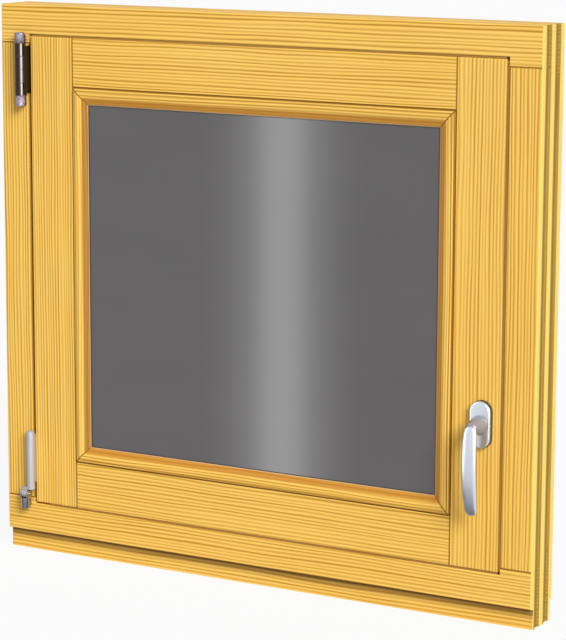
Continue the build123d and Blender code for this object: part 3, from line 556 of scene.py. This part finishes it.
def turned(profile, centre, axis, sides=40, lobes=0, lobe_depth=0.0, lobed_rows=()):
    """Rings of a turned shape: each (radius, height) of the profile swept round an axis.

    A lobed row has its radius multiplied by 1 + depth * cos(lobes * angle), as in a star socket.
    """
    profile = np.asarray(profile, float)
    axis = np.asarray(axis, float)
    helper = np.array([0.0, 0.0, 1.0]) if abs(axis[2]) < 0.9 else np.array([1.0, 0.0, 0.0])
    side = np.cross(axis, helper)
    side /= np.linalg.norm(side)
    other = np.cross(axis, side)
    angle = np.linspace(0, 2 * np.pi, sides, endpoint=False)
    round_about = np.cos(angle)[:, None] * side + np.sin(angle)[:, None] * other
    swell = np.ones((len(profile), sides))
    swell[list(lobed_rows)] += lobe_depth * np.cos(lobes * angle)
    radii = profile[:, 0, None] * swell
    return np.asarray(centre) + radii[..., None] * round_about + profile[:, 1, None, None] * axis


def arc(centre, radius, start, end, steps):
    """Points of an arc as (radius, height) pairs, between two angles in degrees."""
    angle = np.radians(np.linspace(start, end, steps))
    return np.stack([centre[0] + radius * np.cos(angle), centre[1] + radius * np.sin(angle)], axis=-1)


# Handle
LEVER_HEAD = 4.5 * MM
LEVER_PROUD = 34.95 * MM
LEVER_THICKNESS = 10.0 * MM
LEVER_FALL = 11.6 * MM
LEVER_PEAK_DROP = 49.0 * MM
LEVER_WIDTH = 22.0 * MM
LEVER_END_WIDTH = 18.5 * MM
LEVER_END_POWER = 16
LEVER_SECTION_POWER = 2.35
LEVER_ROWS = 61
LEVER_COLUMNS = 56
LEVER_LENGTH = HANDLE_Z + LEVER_HEAD - LEVER_LOW.z
NECK_BASE = 13.8 * MM
NECK_TOP = 8.0 * MM
NECK_LIFT = 0.4 * MM
NECK_POWER = 1.3
NECK_ROWS = 24
NECK_COLUMNS = 56
ROSETTE_BASE = 4.0 * MM
ROSETTE_UNDER = 0.5 * MM
ROSETTE_EDGE = 2.6 * MM
ROSETTE_CROWN = 0.6 * MM
ROSETTE_COLUMNS = 72
ROSETTE_BASE_EDGE = 0.3 * MM
ROSETTE_BASE_INSETS = (ROSETTE_BASE_EDGE, 0.0, 0.0, 0.6 * MM)
ROSETTE_BASE_RISES = (0.0, ROSETTE_BASE_EDGE, ROSETTE_BASE - ROSETTE_BASE_EDGE, ROSETTE_BASE)


def lever_line(drop):
    """The lever's middle line in depth: a parabola of the drop below its top, proudest at the peak."""
    fall = LEVER_FALL * ((drop - LEVER_PEAK_DROP) / (LEVER_LENGTH - LEVER_PEAK_DROP)) ** 2
    return FACE - LEVER_PROUD - LEVER_THICKNESS / 2 + fall


def lever_grip(material):
    """The grip: superellipse sections standing across a bowed line, shrinking to rounded ends.

    Along the grip the place t runs from -1 to 1, crowded towards the ends as sin. The section's half
    width and half thickness fall to zero at the ends as (1 - |t|^m)^(1/2) for the end power m, and its
    outline is |a|^n + |b|^n = 1 for the section power n.
    """
    place = np.sin(np.linspace(-0.5, 0.5, LEVER_ROWS) * np.pi)[1:-1]
    drop = LEVER_LENGTH * (1 - place) / 2
    fullness = np.sqrt(1 - np.abs(place) ** LEVER_END_POWER)
    half_width = fullness * (LEVER_WIDTH - (LEVER_WIDTH - LEVER_END_WIDTH) * place**2) / 2
    half_thick = fullness * LEVER_THICKNESS / 2
    line_y = lever_line(drop)
    slope = np.gradient(line_y, drop)
    normal = np.stack([np.zeros_like(slope), np.ones_like(slope), slope], axis=-1)
    normal /= np.linalg.norm(normal, axis=1)[:, None]
    angle = np.linspace(0, 2 * np.pi, LEVER_COLUMNS, endpoint=False)
    power = 2 / LEVER_SECTION_POWER
    wide = np.sign(np.cos(angle)) * np.abs(np.cos(angle)) ** power
    thick = np.sign(np.sin(angle)) * np.abs(np.sin(angle)) ** power
    line = np.stack([np.full_like(drop, HANDLE_X), line_y, HANDLE_Z + LEVER_HEAD - drop], axis=-1)
    rings = line[:, None, :] + (half_width[:, None] * wide)[..., None] * np.array([1.0, 0.0, 0.0])
    rings = rings + (half_thick[:, None] * thick)[..., None] * normal[:, None, :]
    piece("handle_grip", rings, material, "handle", ("handle_lever",))


def neck(material):
    """The neck from rosette to grip: a stub whose radius falls from base to top, faster at first."""
    start = ROSETTE_LOW.y - NECK_LIFT
    end = lever_line(LEVER_HEAD)
    share = np.linspace(0, 1, NECK_ROWS)
    radius = NECK_TOP + (NECK_BASE - NECK_TOP) * (1 - share) ** NECK_POWER
    profile = np.stack([radius, share * (start - end)], axis=-1)
    rings = turned(profile, (HANDLE_X, start, HANDLE_Z), (0, -1, 0), NECK_COLUMNS)
    piece("handle_neck", rings, material, "handle")


def slot_rings(half_width, half_length, insets, rises):
    """Rings of an upright slot round the handle: a circle pulled apart up and down, inset row by row."""
    angle = np.linspace(0, 2 * np.pi, ROSETTE_COLUMNS, endpoint=False)
    reach = half_width - np.asarray(insets)[:, None]
    straight = (half_length - half_width) * np.sign(np.sin(angle))
    across = HANDLE_X + reach * np.cos(angle)
    upright = HANDLE_Z + reach * np.sin(angle) + straight
    level = np.broadcast_to(FACE - np.asarray(rises)[:, None], across.shape)
    return np.stack([across, level, upright], axis=-1)


def rosette(cover_material, base_material):
    """The rosette: a dark base plate on the stile, under a cover with a rounded edge and a slight crown.

    The cover's edge is a quarter circle, and its crown rises to the middle as a parabola.
    """
    half_width = (ROSETTE_HIGH.x - ROSETTE_LOW.x) / 2
    half_length = (ROSETTE_HIGH.z - ROSETTE_LOW.z) / 2
    thickness = ROSETTE_HIGH.y - ROSETTE_LOW.y
    turn = np.radians(np.linspace(0, 90, 9))
    over = np.linspace(0.1, 0.9, 8)
    edge_inset = ROSETTE_UNDER + ROSETTE_EDGE * (1 - np.cos(turn))
    top_inset = ROSETTE_EDGE + over * (half_width - ROSETTE_EDGE)
    inset = np.concatenate([[ROSETTE_UNDER], edge_inset, top_inset])
    edge_rise = thickness - ROSETTE_CROWN - ROSETTE_EDGE * (1 - np.sin(turn))
    rise = np.concatenate([[ROSETTE_BASE], edge_rise, thickness - ROSETTE_CROWN * (1 - over) ** 2])
    rings = slot_rings(half_width, half_length, inset, rise)
    piece("rosette_cover", rings, cover_material, "sash", ("handle_rosette",))
    rings = slot_rings(half_width, half_length, ROSETTE_BASE_INSETS, ROSETTE_BASE_RISES)
    piece("rosette_base", rings, base_material, "sash", smooth=False)


# Seal in the gap round the sash
SEAL_SETBACK = 1.4 * MM
SEAL_DEPTH = 3.0 * MM
SEAL_CLEARANCE = 0.3 * MM
SEAL_THICKNESS = 2.4 * MM
SEAL_CORNER = 2.0 * MM
SEAL_HINGE_SIDE = 24.0 * MM


def overlap_seal(material):
    """Brown seals in the gap round the sash's lip: flat bars along its top, lock side and bottom.

    Each bar is a rectangle across the face, carried straight back from its front to its back.
    """
    front, back = FACE + SEAL_SETBACK, FACE + SEAL_SETBACK + SEAL_DEPTH
    near, far = SEAL_CLEARANCE, SEAL_CLEARANCE + SEAL_THICKNESS
    left, right = LEFT_STILE_LOW.x, STILE_HIGH.x
    bottom, top = STILE_LOW.z, STILE_HIGH.z
    bars = (
        ("top", (left + SEAL_CORNER, right - SEAL_CORNER), (top + near, top + far)),
        ("side", (right + near, right + far), (bottom + SEAL_CORNER, top - SEAL_CORNER)),
        ("bottom", (left + SEAL_HINGE_SIDE, right - SEAL_CORNER), (bottom - far, bottom - near)),
    )
    for name, (x0, x1), (z0, z1) in bars:
        outline = np.array([(x0, z0), (x1, z0), (x1, z1), (x0, z1)])
        rings = np.stack([np.insert(outline, 1, level, axis=1) for level in (front, back)])
        piece("overlap_seal_" + name, rings, material, "sash", smooth=False)


# Upper hinge. The grub screw's profile is in shares of its radius, and heights.
KNUCKLE_RADIUS = 7.5 * MM
STAY_LEAF_OVERRUN = 15.0 * MM
HOOP_RADIUS = KNUCKLE_RADIUS - 0.2 * MM
HOOP_THICKNESS = 0.45 * MM
PIN_SHANK = 3.5 * MM
PIN_CAP_LENGTH = 16.0 * MM
PIN_CAP_ROUND = 1.5 * MM
PIN_CAP_FLAT = 0.4
GRUB_RADIUS = 1.0 * MM
GRUB_PROFILE = ((1.0, -0.5 * MM), (1.0, 0.05 * MM), (0.8, 0.1 * MM))
GRUB_AZIMUTH = math.radians(62)


def hinge_pin(material):
    """The upper hinge pin: a straight shank between two long caps with rounded ends."""
    cap = (PIN_HIGH.x - PIN_LOW.x) / 2
    dome = arc((cap - PIN_CAP_ROUND, -PIN_CAP_ROUND), PIN_CAP_ROUND, 0, 80, 8)
    shoulder = [(PIN_SHANK, -PIN_CAP_LENGTH), (cap, -PIN_CAP_LENGTH)]
    half = np.vstack([shoulder, dome, [(PIN_CAP_FLAT * cap, 0.0)]])
    top = half + np.array([0.0, PIN_HIGH.z])
    bottom = half * np.array([1.0, -1.0]) + np.array([0.0, PIN_LOW.z])
    rings = turned(np.vstack([bottom[::-1], top]), (HINGE_X, HINGE_Y, 0), (0, 0, 1))
    piece("hinge_pin", rings, material, "frame", ("top_hinge_pin",))


def grub_screw(material):
    """A tiny grub screw in the middle knuckle: a short turned disc facing out from the hinge axis."""
    outward = np.array([math.sin(GRUB_AZIMUTH), -math.cos(GRUB_AZIMUTH), 0.0])
    centre = np.array([HINGE_X, HINGE_Y, (STAY_LOW.z + STAY_HIGH.z) / 2]) + KNUCKLE_RADIUS * outward
    rings = turned(np.array(GRUB_PROFILE) * (GRUB_RADIUS, 1.0), centre, outward, sides=20)
    piece("hinge_grub_screw", rings, material, "stay")


def hinge_hoops(material):
    """Thin dark hoops where the knuckles meet: a small circle carried round a large one."""
    angle = np.linspace(0, 2 * np.pi, 12, endpoint=False)
    for number, height in enumerate((STAY_LOW.z + STAY_LEAF_OVERRUN, STAY_HIGH.z - STAY_LEAF_OVERRUN), 1):
        reach = HOOP_RADIUS + HOOP_THICKNESS * np.cos(angle)
        profile = np.stack([reach, height + HOOP_THICKNESS * np.sin(angle)], axis=-1)
        rings = turned(profile, (HINGE_X, HINGE_Y, 0), (0, 0, 1), sides=48)
        piece(f"hinge_ring_{number}", rings, material, "frame", closed=True)


# Screws, and the drip rail's end caps. The screw's profile is in shares of its radius and height.
SCREW_PROUD = 0.9 * MM
SCREW_SOCKET = ((0.252, -0.3), (0.42, -0.3), (0.42, 0.92), (0.483, 1.0))
SCREW_PROFILE = (*SCREW_SOCKET, (0.75, 0.82), (0.95, 0.4), (1.0, 0.0), (1.0, -0.5))
SCREW_SIDES = 36
SCREW_LOBES = 6
SCREW_LOBE_DEPTH = 0.2
SCREW_LOBED_ROWS = (1, 2)
FACEPLATE_SCREW_RADIUS = 3.6 * MM
FACEPLATE_SCREW_SHARES = np.linspace(0.03, 0.97, 6)
FACEPLATE_SCREW_SETBACK = 6.0 * MM
DRIP_SCREW_RADIUS = 2.8 * MM
DRIP_SCREW_SHARES = np.linspace(0.06, 0.94, 5)
DRIP_SCREW_OUT = 2.5 * MM
DRIP_SCREW_UP = 5.0 * MM
CAP_FALL = 4.0 * MM
CAP_NOSE = 8.0 * MM
CAP_LAYERS = ((0.97, 0.0), (1.0, 0.4 * MM), (1.0, 1.8 * MM), (0.95, 2.4 * MM))


def screw(name, centre, axis, radius, body, material):
    """A low domed screw head with a six-lobed socket: a profile turned from the socket's floor outwards."""
    profile = np.array(SCREW_PROFILE) * (radius, SCREW_PROUD)
    rings = turned(profile, centre, axis, SCREW_SIDES, SCREW_LOBES, SCREW_LOBE_DEPTH, SCREW_LOBED_ROWS)
    piece(name, rings, material, body)


def screws(material):
    """A row of screws down the lock faceplate and one along the drip rail."""
    middle_y = (FACEPLATE_LOW.y + FACEPLATE_HIGH.y) / 2
    for number, share in enumerate(FACEPLATE_SCREW_SHARES, 1):
        height = FACEPLATE_LOW.z + share * (FACEPLATE_HIGH.z - FACEPLATE_LOW.z)
        place = (FACEPLATE_HIGH.x - FACEPLATE_SCREW_SETBACK, middle_y, height)
        screw(f"faceplate_screw_{number}", place, (1, 0, 0), FACEPLATE_SCREW_RADIUS, "sash", material)
    for number, share in enumerate(DRIP_SCREW_SHARES, 1):
        along = DRIP_LOW.x + share * (DRIP_HIGH.x - DRIP_LOW.x)
        place = (along, DRIP_LOW.y + DRIP_SCREW_OUT, DRIP_LOW.z + DRIP_SCREW_UP)
        screw(f"drip_rail_screw_{number}", place, (0, 1, 0), DRIP_SCREW_RADIUS, "frame", material)


def end_caps(material):
    """The drip rail's end caps: its closed outline, thickened along the rail with small bevelled edges.

    Each layer is the outline shrunk about its middle by a share, at a distance out from the rail's end.
    """
    low, high = DRIP_LOW, DRIP_HIGH
    outer = [(high.y, high.z - CAP_FALL - CAP_NOSE), (high.y, high.z - CAP_FALL)]
    corners = np.array([(low.y, low.z), *outer, (low.y, high.z)])
    middle = corners.mean(axis=0)
    share, out = np.array(CAP_LAYERS).T
    outlines = middle + share[:, None, None] * (corners - middle)
    for number, (end, side) in enumerate(((low.x, -1), (high.x, 1)), 1):
        level = np.broadcast_to((end + side * out)[:, None, None], (*outlines.shape[:2], 1))
        rings = np.concatenate([level, outlines], axis=-1)
        piece(f"drip_rail_cap_{number}", rings, material, "frame", smooth=False)


def dress_fittings():
    """Finish the glass, seals and metal fittings, and add their screws, caps and handle."""
    finishes = fitting_finishes()
    for node, finish in FITTINGS.items():
        wear(node, finishes[finish])
    lever_grip(finishes["satin_aluminium"])
    neck(finishes["neck_satin"])
    rosette(finishes["satin_aluminium"], finishes["dark_seal"])
    overlap_seal(finishes["brown_seal"])
    hinge_pin(finishes["galvanised_steel"])
    grub_screw(finishes["dark_seal"])
    hinge_hoops(finishes["dark_seal"])
    screws(finishes["bright_steel"])
    end_caps(finishes["dark_seal"])


# Camera, as the photograph was taken
PICTURE_WIDTH = 566
PICTURE_HEIGHT = 640
FOCAL_LENGTH_PIXELS = 2571.6
CAMERA_PLACE = (1.8017, -3.1429, 1.0578)
CAMERA_YAW = math.radians(29.481)
CAMERA_PITCH = math.radians(10.490)
CAMERA_ROLL = math.radians(0.236)
SENSOR = 36.0

# Light
AMBIENT = 0.39
KEY_STRENGTH = 3.35
KEY_ANGLE = math.radians(26)
KEY_FROM = (0.69, -0.53, 0.50)
FLOOR_HALF = 40.0
FLOOR_SHADE = 0.62
FLOOR_GLOW = 0.92


def seen_straight(nodes, links):
    """1 where a surface is seen by the camera, in a reflection or through glass, else 0."""
    path = nodes.new("ShaderNodeLightPath")
    total = path.outputs["Is Camera Ray"]
    for ray in ("Is Glossy Ray", "Is Transmission Ray"):
        more = nodes.new("ShaderNodeMath")
        more.operation = "MAXIMUM"
        links.new(total, more.inputs[0])
        links.new(path.outputs[ray], more.inputs[1])
        total = more.outputs[0]
    return total


def stage_plane(name, corners, material):
    """A four-cornered plane of the stage, with its width and height as its UV map."""
    mesh = bpy.data.meshes.new(name)
    mesh.from_pydata(corners, [], [(0, 1, 2, 3)])
    mesh.uv_layers.new(name="UVMap").data.foreach_set("uv", [0, 0, 1, 0, 1, 1, 0, 1])
    mesh.materials.append(material)
    made = placed(name, mesh)
    return made


def surroundings():
    """White surroundings, which light the object less than they show."""
    world = bpy.data.worlds.new("studio")
    bpy.context.scene.world = world
    world.use_nodes = True
    nodes, links = world.node_tree.nodes, world.node_tree.links
    strength = nodes.new("ShaderNodeMapRange")
    strength.inputs["To Min"].default_value = AMBIENT
    strength.inputs["To Max"].default_value = 1.0
    links.new(seen_straight(nodes, links), strength.inputs["Value"])
    background = nodes["Background"].inputs
    background["Color"].default_value = (1, 1, 1, 1)
    links.new(strength.outputs[0], background["Strength"])


def floor():
    """A pale floor that keeps the object's shadow, and otherwise shows almost white."""
    corners = np.array([(-1, -1, 0), (1, -1, 0), (1, 1, 0), (-1, 1, 0)]) * FLOOR_HALF
    paint = Finish("pale_floor")
    matt = paint.add("ShaderNodeBsdfDiffuse", {"Color": (FLOOR_SHADE, FLOOR_SHADE, FLOOR_SHADE, 1)})
    glow = paint.add("ShaderNodeEmission")
    share = paint.calc("MULTIPLY", seen_straight(paint.nodes, paint.links), FLOOR_GLOW)
    stage_plane("floor", corners.tolist(), paint.layer(share, matt, glow))


def pose_matrix(right, up, back, place):
    """A placing matrix from three axes and a place."""
    matrix = np.eye(4)
    matrix[:3, 0], matrix[:3, 1], matrix[:3, 2], matrix[:3, 3] = right, up, back, place
    return Matrix(matrix.tolist())


def key_light():
    """A wide soft sun from the room's right, its back axis pointing to where the light comes from."""
    lamp = bpy.data.lights.new("key", "SUN")
    lamp.energy = KEY_STRENGTH
    lamp.angle = KEY_ANGLE
    back = np.array(KEY_FROM) / np.linalg.norm(KEY_FROM)
    right = np.cross((0.0, 0.0, 1.0), back)
    right /= np.linalg.norm(right)
    placed("key", lamp).matrix_world = pose_matrix(right, np.cross(back, right), back, KEY_FROM)


def camera():
    """The camera: its direction from yaw and pitch, then rolled about that direction."""
    lens = bpy.data.cameras.new("camera")
    lens.sensor_width = SENSOR
    lens.lens = SENSOR * FOCAL_LENGTH_PIXELS / max(PICTURE_WIDTH, PICTURE_HEIGHT)
    forward = np.array([
        -math.sin(CAMERA_YAW) * math.cos(CAMERA_PITCH),
        math.cos(CAMERA_YAW) * math.cos(CAMERA_PITCH),
        -math.sin(CAMERA_PITCH),
    ])
    level = np.array([math.cos(CAMERA_YAW), math.sin(CAMERA_YAW), 0.0])
    upright = np.cross(level, forward)
    right = math.cos(CAMERA_ROLL) * level + math.sin(CAMERA_ROLL) * upright
    up = math.cos(CAMERA_ROLL) * upright - math.sin(CAMERA_ROLL) * level
    made = placed("camera", lens)
    made.matrix_world = pose_matrix(right, up, -forward, CAMERA_PLACE)
    bpy.context.scene.camera = made


# Cards round the object, seen only in glossy surfaces
STREAK_X = 0.040
STREAK_DISTANCE = 0.46
STREAK_HALF_WIDTH = 0.13
STREAK_HEIGHTS = (0.005, 0.95)
STREAK_STRENGTH = 5.4
STREAK_RISE = ((0.0, 0.0), (0.16, 0.1), (0.31, 0.42), (0.43, 0.94))
STREAK_COVER = (*STREAK_RISE, (0.5, 1.0), (0.57, 0.94), (0.69, 0.42), (0.84, 0.1), (1.0, 0.0))
HINGE_CARD_X = 1.6
HINGE_CARD_Y = (-2.0, -0.09)
HINGE_CARD_HEIGHTS = (0.42, 0.75)
HINGE_CARD_STRENGTH = 22.0
HINGE_CARD_COVER = ((0.0, 0.0), (0.1, 1.0), (0.95, 1.0), (1.0, 0.0))
DARK_CARD_X = (-1.3, 0.45)
DARK_CARD_REACH = (0.03, 0.50)
DARK_CARD_LIFT = 0.004
DARK_CARD_COVER = ((0.0, 0.78), (0.35, 0.78), (1.0, 0.0))


def card(name, corners, strength, cover):
    """A four-cornered card that only glossy surfaces see, with its cover across its width as a curve."""
    glow = Finish(name)
    across = glow.add("ShaderNodeSeparateXYZ", {0: glow.add("ShaderNodeUVMap").outputs[0]}).outputs["X"]
    light = glow.add("ShaderNodeEmission", {"Strength": strength})
    clear = glow.add("ShaderNodeBsdfTransparent")
    made = stage_plane(name, corners, glow.layer(glow.ramp(across, cover), clear, light))
    made.visible_camera = False
    made.visible_diffuse = False
    made.visible_shadow = False
    made.visible_transmission = False


def upright_card(name, start, end, heights, strength, cover):
    """A card standing between two places on the floor plan."""
    low, high = heights
    card(name, [(*start, low), (*end, low), (*end, high), (*start, high)], strength, cover)


def reflection_cards():
    """Cards that the glass mirrors as an upright streak, and the metal as bright and dark edges.

    The streak card stands on the mirrored line of sight through the streak's place on the glass.
    """
    glass_y = PANE_LOW.y
    sight = np.array([STREAK_X - CAMERA_PLACE[0], glass_y - CAMERA_PLACE[1]])
    sight /= np.linalg.norm(sight)
    ahead = np.array([sight[0], -sight[1]])
    centre = np.array([STREAK_X, glass_y]) + STREAK_DISTANCE * ahead
    across = STREAK_HALF_WIDTH * np.array([-ahead[1], ahead[0]])
    start, end = (centre - across).tolist(), (centre + across).tolist()
    upright_card("streak_card", start, end, STREAK_HEIGHTS, STREAK_STRENGTH, STREAK_COVER)
    start, end = ((HINGE_CARD_X, y) for y in HINGE_CARD_Y)
    upright_card("hinge_card", start, end, HINGE_CARD_HEIGHTS, HINGE_CARD_STRENGTH, HINGE_CARD_COVER)
    near, far = (FACE - reach for reach in DARK_CARD_REACH)
    left, right = DARK_CARD_X
    outline = ((left, near), (left, far), (right, far), (right, near))
    card("dark_card", [(*corner, DARK_CARD_LIFT) for corner in outline], 0.0, DARK_CARD_COVER)


dress_pine()
dress_fittings()
bpy.context.scene.view_settings.view_transform = "Standard"
surroundings()
floor()
key_light()
camera()
reflection_cards()
